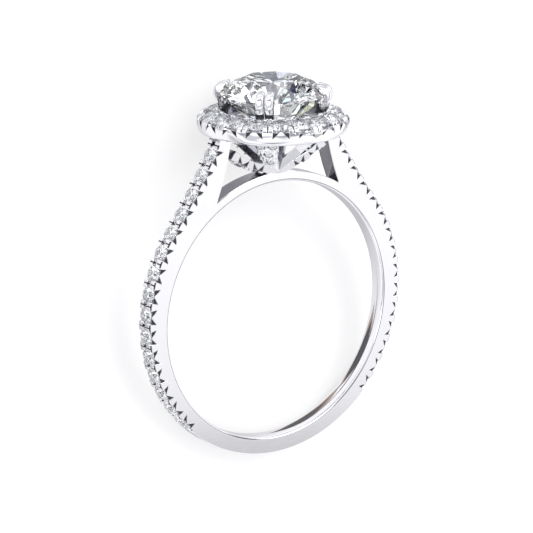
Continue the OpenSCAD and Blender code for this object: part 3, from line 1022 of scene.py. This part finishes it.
seat = bmesh.new()
bmesh.ops.create_grid(seat, x_segments=16, y_segments=14, size=1)
for v in seat.verts:
    angle = v.co.x * HALF_STEP
    r = SEAT_R + v.co.y * SEAT_REACH
    across = 2 * HALO_ROW_R * sin(angle / 2)
    out = (r - HALO_ROW_R) / cos(HALO_LEAN)
    cone = PIT_SLOPE * max(0, HALO_STONE / 2 + 0.02 - hypot(across, out))
    z = HALO_ROW_Z - (r - HALO_ROW_R) * tan(HALO_LEAN) + SEAT_RIM - cone
    v.co = (r * sin(angle), -r * cos(angle), z)
push_down_to(seat, SEAT_FLOOR)
seat.normal_update()
# The seats get the satin tone and their outer sides the dark cut tone, both painted
# shade.
for face in seat.faces:
    outwards = Vector((face.calc_center_median().x, face.calc_center_median().y, 0))
    side_on = abs(face.normal.dot(outwards.normalized())) > 0.9
    face.material_index = CUT_SHADE if side_on and outwards.length > 4.7 else SEAT_SHADE
copies(seat, halo, stone_turns)
lean = Matrix.Rotation(HALO_LEAN, 4, "X")
copies(pad(0.17, 0.2, 0.4, rounding=0.06, steps=3), halo, [
    turn @ Matrix.Translation((shift, -3.66, 13.52)) @ lean
    for turn in gap_turns for shift in (-0.1, 0.1)])
hand_over_metal(halo, "halo")

# %% [markdown]
# ## Double claws
# Four prongs hold the big stone, and each is split into two fingers. A finger could
# be a curve with a round profile, but it isn't round: it is filed from flat wire. So
# it is drawn from the side, given its width, and its long edges are rounded over in
# four steps. They then show the curved dark reflections of a polished wire.

# %% Claws
FINGER_W, FINGER_SLIT = 0.53, 0.08
FLAT_HALF = 0.1
ROUND_OVER = [(0.01, 0.055), (0.025, 0.055), (0.04, 0.035), (0.05, 0.02)]
# Below this height a finger gets painted shade, where it meets the halo.
SHADE_BELOW = 13.78
FINGER_LINE = [
    (3.02, 12.1), (3.455, 12.1), (3.455, 13.3), (3.6, 13.8), (3.83, 14.15),
    (3.84, 14.65), (3.66, 14.95), (3.3, 15.1), (2.9, 15.17), (2.86, 14.9),
    (3.18, 14.74), (3.47, 14.52), (3.482, 14.3), (3.2, 14.02), (3.02, 13.8)]


def soften_line(points, times):
    """Cuts the corners of a closed outline, each time by a quarter."""
    for _ in range(times):
        points = [tuple(a * (1 - share) + b * share for a, b in zip(p, q))
                  for p, q in zip(points, points[1:] + points[:1])
                  for share in (0.25, 0.75)]
    return points


def finger():
    bm = bmesh.new()
    trace(bm, [(x, -FLAT_HALF, z) for x, z in soften_line(FINGER_LINE, 2)])
    bmesh.ops.contextual_create(bm, geom=bm.edges[:])
    thicken(bm, 2 * FLAT_HALF)
    ends = [f for f in bm.faces if abs(f.normal.y) > 0.99]
    for inwards, outwards in ROUND_OVER:
        bmesh.ops.inset_region(bm, faces=ends, thickness=inwards, depth=outwards,
                               use_even_offset=True, use_boundary=True)
    for face in bm.faces:
        low = face.calc_center_median().z < SHADE_BELOW
        face.material_index = CUT_SHADE if low else POLISHED
    return bm


claws = bmesh.new()
copies(finger(), claws, [
    prong @ Matrix.Translation((0, side * (FINGER_W + FINGER_SLIT) / 2, 0))
    for prong in PRONGS for side in (-1, 1)])
hand_over_metal(claws, "double_claws")

# %% [markdown]
# ## Posts
# Each prong stands on a slanting post that widens from the arch to the halo. Its
# outer face is set with small stones, so it has shallow pits and round beads. Both
# could be carved in by hand. Here one fine grid is pressed in at the same places
# that the stones use, so stone and pit can't part. Its edges roll down. Its pits get
# the satin tone and its back the tone of the inner sides, both painted shade.

# %% The face of a post
FOOT_W, HEAD_W, OVERLAP = 0.95, 1.6, 0.06
POST_SINK, PIT_DEPTH, POST_BACK = -0.1, 0.35, -0.6

pits = [(up * POST_RUN.length, across * POST_SPACING, size * POST_STONE / 2)
        for up, across, size in POST_PLACES]
post = bmesh.new()
bmesh.ops.create_grid(post, x_segments=64, y_segments=28, size=0.5)
for v in post.verts:
    x = (v.co.x + 0.5) * (POST_RUN.length + 2 * OVERLAP) - OVERLAP
    y = v.co.y * (FOOT_W + (HEAD_W - FOOT_W) * max(0, x / POST_RUN.length))
    edge = max(0, abs(v.co.y) - 0.42) / 0.08
    sink = max([r + 0.02 - hypot(x - px, y - py) for px, py, r in pits] + [0])
    v.co = (x, y, POST_SINK - 0.07 * edge ** 2 - min(0.9 * sink, PIT_DEPTH))
for face in post.faces:
    middle = face.calc_center_median()
    if middle.z < -0.14 and abs(middle.y) < 0.6:
        face.material_index = SEAT_SHADE
for face in push_down_to(post, POST_BACK):
    face.material_index = INNER_SHADE
print("Face of one post, faces:", len(post.faces))

# %% [markdown]
# The beads round the pits are pushed up with a graver and are nearly round. Small
# spheres, half sunk in, do for all of them. Each spot is a share of the way up the
# post and a distance across it.

# %% Beads and all four posts
BEAD_SPOTS = [(0.93, 0), (0.93, 0.36), (0.93, -0.36), (0.9, 0.68), (0.9, -0.68),
              (0.62, 0.36), (0.62, -0.36), (0.74, 0), (0.6, 0.1), (0.6, -0.1),
              (0.56, 0.58), (0.56, -0.58), (0.38, 0.28), (0.38, -0.28), (0.36, 0),
              (0.4, 0.5), (0.4, -0.5), (0.15, 0.26), (0.15, -0.26), (0.13, 0),
              (0.26, 0.4), (0.26, -0.4)]
bead = bmesh.new()
bmesh.ops.create_uvsphere(bead, u_segments=12, v_segments=8, radius=0.085)
posts = bmesh.new()
for prong in PRONGS:
    on_post = prong @ Matrix.Translation(POST_FOOT) @ POST_FACE
    copies(post, posts, [on_post], keep=True)
    copies(bead, posts, [
        on_post @ Matrix.Translation((POST_RUN.length * up, across, -0.07))
        for up, across in BEAD_SPOTS], keep=True)
for part in (post, bead):
    part.free()
hand_over_metal(posts, "posts")

# %% [markdown]
# ## The table
# The ring lies on a pale table. Polished metal and clear stones show only what
# surrounds them, so from here on the studio matters as much as the ring. A brighter
# sky would wash out the shadow but also the metal. So the table glows a little by
# itself, which keeps the shadow light.

# %% Table
table_mesh = bmesh.new()
bmesh.ops.create_grid(table_mesh, x_segments=8, y_segments=8, size=0.6)
table_finish, _, shader = new_finish("Pale table")
set_inputs(shader, {"Base Color": (0.42, 0.42, 0.423, 1), "Roughness": 0.6,
                    "Emission Color": (1, 1, 1, 1), "Emission Strength": 0.6})
table = make_object(table_mesh, "table_top", [table_finish])
print("Table, side in metres:", round(table.dimensions.x, 2))

# %% [markdown]
# ## Cards for the metal
# A photographer stands cards round a ring: white ones brighten its faces, dark ones
# draw the lines in it. A card could be lit by lamps, but then its tone would depend
# on all of them. A black card that glows shows exactly the tone it is given. The
# camera doesn't see the cards and they cast no shadow. Some are seen by the metal
# only, and others only by light that leaves a stone.

# %% Boards and cards
def board_finish(name, tone, glow, roughness):
    """One tone, which a glowing board shows exactly."""
    material, tree, shader = new_finish(name)
    base = (0, 0, 0) if glow else tone
    set_inputs(shader, {"Base Color": (*base, 1), "Roughness": roughness,
                        "Emission Color": (*tone, 1), "Emission Strength": glow})
    return material, tree, shader


def stage_board(bm, name, finish, for_metal=True, for_stones=True):
    """A board that only reflections in the metal and light in the stones show."""
    board = make_object(bm, name, [finish])
    board.visible_camera = False
    board.visible_shadow = False
    board.visible_diffuse = False
    board.visible_glossy = for_metal
    board.visible_transmission = for_stones


def flat_board(size):
    bm = bmesh.new()
    bmesh.ops.create_grid(bm, x_segments=1, y_segments=1, size=0.5)
    bmesh.ops.scale(bm, vec=(size[0], size[1], 1), verts=bm.verts[:])
    return bm


def card(name, place, size, tone, glow=0, for_stones=False):
    """A board that faces the ring, for the metal or for the stones."""
    bm = flat_board(size)
    place = Vector(place)
    turn = (-place).to_track_quat("Z", "Y").to_matrix().to_4x4()
    bmesh.ops.transform(bm, matrix=Matrix.Translation(place) @ turn, verts=bm.verts[:])
    finish, tree, shader = board_finish(name, tone, glow, 0.9)
    stage_board(bm, name, finish, not for_stones, for_stones)
    return tree, shader


print("Board helpers:", [f.__name__ for f in (board_finish, stage_board, card)])

# %% [markdown]
# The flat sides of the ring mirror one wide board. On the real ring they shade from
# white at the head to grey low down. Two boards would leave a hard line between
# them, so one board carries a ramp of greys along one direction.

# %% Side card
SIDE_GREYS = [(0, 0.5), (0.17, 0.6), (0.2, 0.68), (0.245, 0.79), (0.31, 0.88),
              (0.6, 0.99), (1, 1)]
tree, shader = card("side_card", (0.2657, -0.1929, 0.34), (0.24, 0.24), (1, 1, 1), 1)
place = tree.nodes.new("ShaderNodeTexCoord")
along = tree.nodes.new("ShaderNodeVectorMath")
along.operation = "DOT_PRODUCT"
along.inputs[1].default_value = (-0.21, 1, 0)
share = tree.nodes.new("ShaderNodeMapRange")
set_inputs(share, {"From Min": -0.3, "From Max": -0.21})
greys = add_ramp(tree, [(spot, (g, g, g * 1.02)) for spot, g in SIDE_GREYS])
tree.links.new(place.outputs["Object"], along.inputs[0])
tree.links.new(along.outputs["Value"], share.inputs["Value"])
tree.links.new(share.outputs["Result"], greys.inputs["Fac"])
tree.links.new(greys.outputs["Color"], shader.inputs["Emission Color"])
print("Greys along the side card:", len(SIDE_GREYS))

# %% [markdown]
# One grey card and three dark ones draw the lines in the round parts: the band's
# edges, the claws and the cushion of the halo. A dark sky would do that too, but
# everywhere at once. Small cards put each line where it is wanted.

# %% Grey and dark cards
card("grey_card_left", (-0.1, -0.06, 0.05), (0.03, 0.1), (0.62, 0.62, 0.66), 1)
card("dark_card_right", (0.13, 0.06, 0.04), (0.03, 0.12), (0.03, 0.03, 0.03))
card("dark_card_behind_head", (0.066, 0.089, 0.002), (0.036, 0.02), (0.02, 0.02, 0.02))
card("dark_card_back", (0.02, 0.14, 0.06), (0.1, 0.03), (0.03, 0.03, 0.03))
print("Cards for the metal: 5")

# %% [markdown]
# ## Boards for the stones
# A stone sparkles because each facet shows another spot of the room, some bright and
# some dark. One big lamp would make all facets alike. So fifteen small boards hang
# over the ring, spread evenly by the golden angle, every third of them dark. Only
# the stones see them, and the metal stays calm.

# %% Bright and dark boards overhead
DARKS = [(0.01, 0.01, 0.012), (0.01, 0.01, 0.05), (0.03, 0.03, 0.035)]
BRIGHTS = [(1, 1, 1), (0.8, 0.88, 1), (1, 0.98, 0.86), (1, 1, 1)]
BOARDS, BOARD_AWAY = 15, 0.25
GOLDEN_ANGLE = radians(137.5)
for k in range(BOARDS):
    lift = 0.04 + 0.92 * (k + 0.5) / BOARDS
    turn = GOLDEN_ANGLE * k
    level = sqrt(1 - lift * lift)
    place = BOARD_AWAY * Vector((level * cos(turn), level * sin(turn), lift))
    if k % 3:
        card(f"stone_glow_{k:02d}", place, (0.11, 0.11), BRIGHTS[k % 4], 2.2, True)
    else:
        card(f"stone_dark_{k:02d}", place, (0.14, 0.14), DARKS[k // 3 % 3], 0, True)
print("Boards for the stones:", BOARDS)

# %% [markdown]
# Much of what the big stone shows is the table under it, seen straight through. A
# plain table would leave those facets all the same. A patchwork under the head, seen
# through the stones only, gives them crisp greys, a few near-black ones and two
# faint colours.

# %% Patchwork under the head
PATCHES = [(0, (0.006, 0.006, 0.03)), (0.2, (1, 1, 1)), (0.38, (0.15, 0.15, 0.17)),
           (0.5, (0.95, 1, 0.8)), (0.58, (1, 1, 1)), (0.78, (0.45, 0.47, 0.5)),
           (0.88, (0.75, 0.95, 1))]
PATCHWORK_R, UNDER_HEAD = 0.026, (0, 0.008, 0.00012)
patchwork = bmesh.new()
bmesh.ops.create_circle(patchwork, cap_ends=True, segments=32, radius=PATCHWORK_R)
bmesh.ops.translate(patchwork, vec=UNDER_HEAD, verts=patchwork.verts[:])
finish, tree, shader = board_finish("Patchwork", (1, 1, 1), 1.25, 1)
place = tree.nodes.new("ShaderNodeTexCoord")
cells = tree.nodes.new("ShaderNodeTexVoronoi")
cells.inputs["Scale"].default_value = 420
tint = tree.nodes.new("ShaderNodeSeparateColor")
tones = add_ramp(tree, PATCHES, "CONSTANT")
tree.links.new(place.outputs["Object"], cells.inputs["Vector"])
tree.links.new(cells.outputs["Color"], tint.inputs["Color"])
tree.links.new(tint.outputs["Red"], tones.inputs["Fac"])
tree.links.new(tones.outputs["Color"], shader.inputs["Emission Color"])
stage_board(patchwork, "patchwork", finish, for_metal=False)
print("Tones in the patchwork:", len(PATCHES))

# %% [markdown]
# A patchwork falls where it likes. The few facets that catch the eye need a tone of
# their own, so each of them gets a small tile on the table, in the place that it
# looks through to. One more tile is for the wide facets on top: they don't look
# through but mirror it.

# %% Tiles
TILE_LEVEL = 0.00016


def tile(name, middle, size, tone, glow, mirrored=False):
    """A small flat board on the table, its place and size in millimetres."""
    bm = flat_board([MM * length for length in size])
    bmesh.ops.translate(bm, vec=(MM * middle[0], MM * middle[1], TILE_LEVEL),
                        verts=bm.verts[:])
    finish, _, _ = board_finish(name, tone, glow, 0.5)
    stage_board(bm, name, finish, mirrored, not mirrored)


tile("top_facet_tile", (4.2, 15.3), (7.5, 4.6), (0.3, 0.31, 0.34), 1, True)
tile("navy_tile", (0.1, 8.75), (1.7, 2.7), (0.02, 0.02, 0.09), 1)
tile("green_tile", (-0.1, 12.0), (1.3, 1.8), (0.86, 0.93, 0.66), 1.1)
tile("grey_tile", (1.2, 12.1), (1.2, 1.6), (0.5, 0.54, 0.52), 1)
tile("white_tile", (3.0, 12.2), (2.2, 2), (1, 1, 1), 1.6)
print("Tiles: 5")

# %% [markdown]
# ## What the inside of the band mirrors
# The inside of the band mirrors the table within the ring. Painted tones on the
# metal would not move with the view, as reflections do. So a softly clouded grey mat
# lies there, which only the metal sees.

# %% Grey mat, seen only in reflections
MAT_R, MAT_LEVEL = 0.045, 0.0001
mat = bmesh.new()
bmesh.ops.create_circle(mat, cap_ends=True, segments=48, radius=MAT_R)
bmesh.ops.translate(mat, vec=(0, 0, MAT_LEVEL), verts=mat.verts[:])
finish, tree, shader = board_finish("Soft grey mat", (1, 1, 1), 1, 1)
cloud = add_noise(tree, 90, 0)
tones = add_ramp(tree, [(0.38, (0.52, 0.52, 0.54)), (0.62, (0.95, 0.95, 0.97))])
tree.links.new(cloud.outputs["Fac"], tones.inputs["Fac"])
tree.links.new(tones.outputs["Color"], shader.inputs["Emission Color"])
stage_board(mat, "reflection_mat", finish, for_stones=False)
print("Mat radius in millimetres:", round(MAT_R / MM))

# %% [markdown]
# Long warm and grey streaks run along the inner wall. They are strips on the table,
# and finding their places by trial would take long. So each is drawn where it should
# appear on the wall, and a view ray mirrored in the wall then tells where on the
# table it has to lie.

# %% Streaks inside the band
VIEW = Vector((0.562, -0.1125, -0.82)).normalized()
STREAK_LEVEL, ONE_ABOVE = 0.0002, 0.00002


def seen_on_table(angle, y):
    """The table point, in metres, that the inner wall shows at an angle and depth."""
    wall = LIE_DOWN @ Vector((FINGER_R * sin(angle), y, FINGER_R * cos(angle)))
    inwards = (LIE_DOWN.to_3x3() @ Vector((-sin(angle), 0, -cos(angle)))).normalized()
    ray = VIEW.reflect(inwards)
    return wall + ray * (wall.z - STREAK_LEVEL) / -ray.z


def streak(name, angles, depths, width, lift, tone):
    """A slim strip with pointed ends, given by where it shows on the wall."""
    bm = bmesh.new()
    bmesh.ops.create_grid(bm, x_segments=24, y_segments=4, size=0.5)
    for v in bm.verts:
        share = v.co.x + 0.5
        angle = radians(angles[0] + (angles[1] - angles[0]) * share)
        y = depths[0] + (depths[1] - depths[0]) * share
        v.co = seen_on_table(angle, y + 2 * v.co.y * width * sin(pi * share) ** 1.3)
        v.co.z += lift
    stage_board(bm, name, board_finish(name, tone, 0, 0.9)[0])


streak("warm_streak_upper", (96, 143), (0.1, 0.1), 0.55, 0, (0.5, 0.4, 0.34))
streak("grey_streak_upper", (104, 138), (0.08, 0.1), 0.48, ONE_ABOVE,
       (0.1, 0.1, 0.105))
streak("warm_streak_lower", (136, 186), (0.2, -0.2), 0.55, 0, (0.48, 0.37, 0.3))
streak("grey_streak_lower", (146, 184), (0.18, -0.18), 0.42, ONE_ABOVE,
       (0.14, 0.13, 0.13))
streak("edge_streak", (74, 172), (-0.36, -0.36), 0.09, ONE_ABOVE, (0.07, 0.06, 0.055))
print("Streaks on the table: 5")

# %% [markdown]
# ## Sky and lamps
# A white room lights the ring from all sides. A plain white sky would make every
# outer face flat, and a photographed one would be a picture to carry along. Slow
# noise between grey and white gives large soft patches instead.

# %% Sky
world = bpy.data.worlds.new("Studio sky")
world.use_nodes = True
sky = world.node_tree
patches = add_noise(sky, 1.6, 0, "Generated")
tones = add_ramp(sky, [(0.29, (0.3, 0.3, 0.33)), (0.5, (0.965, 0.97, 1))])
sky.links.new(patches.outputs["Fac"], tones.inputs["Fac"])
sky.links.new(tones.outputs["Color"], sky.nodes["Background"].inputs["Color"])
sky.nodes["Background"].inputs["Strength"].default_value = 1.14
bpy.context.scene.world = world
print("Sky:", world.name)

# %% [markdown]
# Three softboxes add direction: one from above, one for the front sides and a small
# one from the left. A bare lamp would leave hard points in the metal, and a box is
# mirrored as a calm bright field. The one for the sides only lights and isn't
# mirrored, because the side card is already there.

# %% Softboxes
def softbox(name, place, size, power, shows=True):
    light = bpy.data.lights.new(name, "AREA")
    light.shape = "RECTANGLE"
    light.size, light.size_y = size
    light.energy = power
    lamp = bpy.data.objects.new(name, light)
    bpy.context.scene.collection.objects.link(lamp)
    place = Vector(place)
    lamp.matrix_world = (Matrix.Translation(place)
                         @ (-place).to_track_quat("-Z", "Y").to_matrix().to_4x4())
    lamp.visible_glossy = shows


softbox("key_softbox", (0.16, 0.2, 0.3), (0.3, 0.3), 0.55)
softbox("side_softbox", (0.26, -0.2, 0.34), (0.3, 0.3), 0.25, False)
softbox("left_softbox", (-0.3, 0.0, 0.2), (0.12, 0.2), 0.1)
print("Lamps:", len(bpy.data.lights))

# %% [markdown]
# ## Camera
# The portrait looks at the ring from its left and a little from above. The camera
# could be turned until it fits by eye. Here its two angles, its distance and its
# shift are measured against the upright ring, and the matrix that lays the ring
# down then carries the camera along.

# %% Camera at the portrait's angle
AZIMUTH, ELEVATION = radians(-35.64), radians(15.36)
DISTANCE, SHIFT_RIGHT, SHIFT_UP = 171.11, -0.43, 2.74
FOCAL_PIXELS, FRAME_PIXELS, SENSOR = 2600, 533, 36
back = Vector((sin(AZIMUTH) * cos(ELEVATION), -cos(AZIMUTH) * cos(ELEVATION),
               sin(ELEVATION)))
right = Vector((cos(AZIMUTH), sin(AZIMUTH), 0))
up = back.cross(right)
eye = back * DISTANCE + right * SHIFT_RIGHT + up * SHIFT_UP
stand = LIE_DOWN @ Matrix.Translation(eye) @ Matrix((
    (right.x, up.x, back.x, 0), (right.y, up.y, back.y, 0),
    (right.z, up.z, back.z, 0), (0, 0, 0, 1)))
lens = bpy.data.cameras.new("portrait_camera")
lens.sensor_width = SENSOR
lens.lens = SENSOR * FOCAL_PIXELS / FRAME_PIXELS
lens.clip_start, lens.clip_end = 0.01, 10
camera = bpy.data.objects.new("portrait_camera", lens)
bpy.context.scene.collection.objects.link(camera)
camera.matrix_world = (Matrix.Translation(stand.to_translation())
                       @ stand.to_quaternion().to_matrix().to_4x4())
bpy.context.scene.camera = camera
print("Camera at", camera.matrix_world.to_translation())

# %% [markdown]
# Light takes many turns inside a brilliant before it leaves. If a ray may bounce
# only a few times, the stones go black, so the limits are raised. Sharp spots of
# focused light are left out: they would only add noise to the table.

# %% Exposure and bounces
view = bpy.context.scene.view_settings
view.view_transform = "Standard"
view.look = "None"
view.exposure = 0.08
cycles = bpy.context.scene.cycles
cycles.max_bounces = 24
cycles.transmission_bounces = 16
cycles.glossy_bounces = 18
cycles.caustics_reflective = False
cycles.caustics_refractive = False
print("Exposure:", round(view.exposure, 2), "bounces:", cycles.max_bounces)
